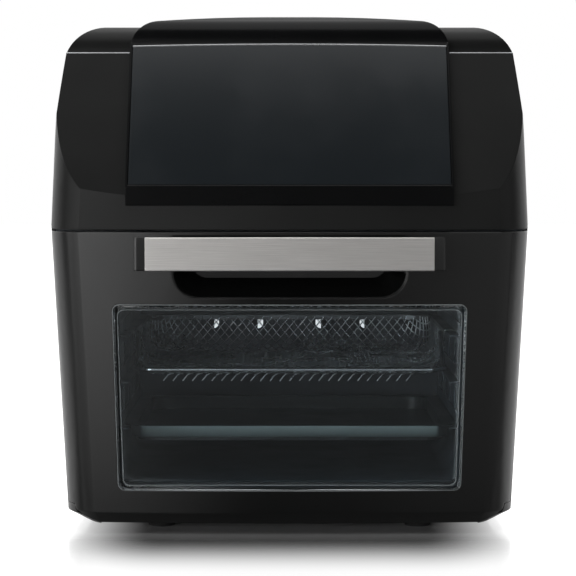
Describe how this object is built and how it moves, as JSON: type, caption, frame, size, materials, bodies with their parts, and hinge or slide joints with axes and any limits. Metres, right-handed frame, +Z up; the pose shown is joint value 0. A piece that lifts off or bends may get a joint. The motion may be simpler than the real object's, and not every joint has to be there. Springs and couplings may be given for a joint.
{
  "type": "air fryer oven",
  "caption": "Countertop air fryer oven with a drop-down window door, slanted touch panel, mesh basket and drip tray on side rails, and a fan over a looped heater.",
  "frame": {"origin": "middle of the footprint, on the plane that the feet stand on", "axes": "+X to the right seen from the front, +Y to the back, +Z up; the door faces -Y"},
  "size_m": [0.33, 0.334, 0.3564],
  "materials": {
    "satin_black": "satin moulded black",
    "gloss_black": "glossy moulded black",
    "panel_gloss": "glossy blue-black touch surface",
    "brushed_steel": "brushed along its length",
    "clear_glass": "clear, polished rim",
    "dark_coating": "dark non-stick coating",
    "dark_chrome": "darkened chrome wire",
    "bright_chrome": "bright plated wire",
    "zinc_sheet": "plain coated sheet",
    "black_sheet": "black painted sheet",
    "heater_tube": "heat-tinted tube",
    "core_steel": "laminated steel",
    "winding": "enamelled wire",
    "bronze": "sintered bush",
    "board_green": "coated circuit board",
    "rubber": "soft black rubber",
    "seal_grey": "silicone",
    "white_plastic": "natural moulding",
    "bolt_steel": "plated screws"
  },
  "bodies": {
    "housing": {"upper_housing": "satin_black", "control_hood": "satin_black", "touch_panel": "panel_gloss", "control_board": "board_green", "side_panel_right": "gloss_black", "side_panel_left": "gloss_black", "back_panel": "black_sheet", "back_screws": "bolt_steel", "cord_gland": "rubber", "base_pan": "gloss_black", "feet": "rubber", "hinge_brackets": "zinc_sheet", "cavity_front_frame": "dark_coating", "cavity_liner": "dark_coating", "shelf_rail_right": "dark_coating", "shelf_rail_left": "dark_coating", "drip_tray": "dark_coating", "basket_floor": "dark_chrome", "basket_walls": "dark_chrome", "basket_wire": "bright_chrome", "heater_guard": "zinc_sheet", "heating_element": "heater_tube", "element_clips": "zinc_sheet", "fan_bowl": "zinc_sheet", "heat_shield": "zinc_sheet", "motor_bracket": "zinc_sheet", "motor_cap": "zinc_sheet", "motor_core": "core_steel", "motor_winding": "winding", "motor_bearings": "bronze", "power_board": "board_green", "thermal_cutout": "white_plastic", "temperature_probe": "bolt_steel", "terminal_block": "white_plastic", "door_switch": "white_plastic"},
    "door": {"door_panel": "gloss_black", "door_window": "clear_glass", "door_inner_frame": "dark_coating", "door_inner_glass": "clear_glass", "door_seal": "seal_grey", "door_striker": "white_plastic", "hinge_pins": "bolt_steel", "handle_body": "gloss_black", "handle_plate": "brushed_steel", "handle_screws": "bolt_steel"},
    "rotor": {"motor_shaft": "bolt_steel", "rotor_core": "core_steel", "hot_air_fan": "zinc_sheet", "fan_nut": "bolt_steel", "cooling_fan": "white_plastic"}
  },
  "joints": [
    {"name": "door_hinge", "type": "hinge", "parent": "housing", "child": "door", "pos_m": [0, -0.13, 0.019], "axis": [1, 0, 0], "range_deg": [0, 80]},
    {"name": "fan_spin", "type": "hinge", "parent": "housing", "child": "rotor", "pos_m": [0, 0.0052, 0.25], "axis": [0, 0, 1], "continuous": true}
  ]
}
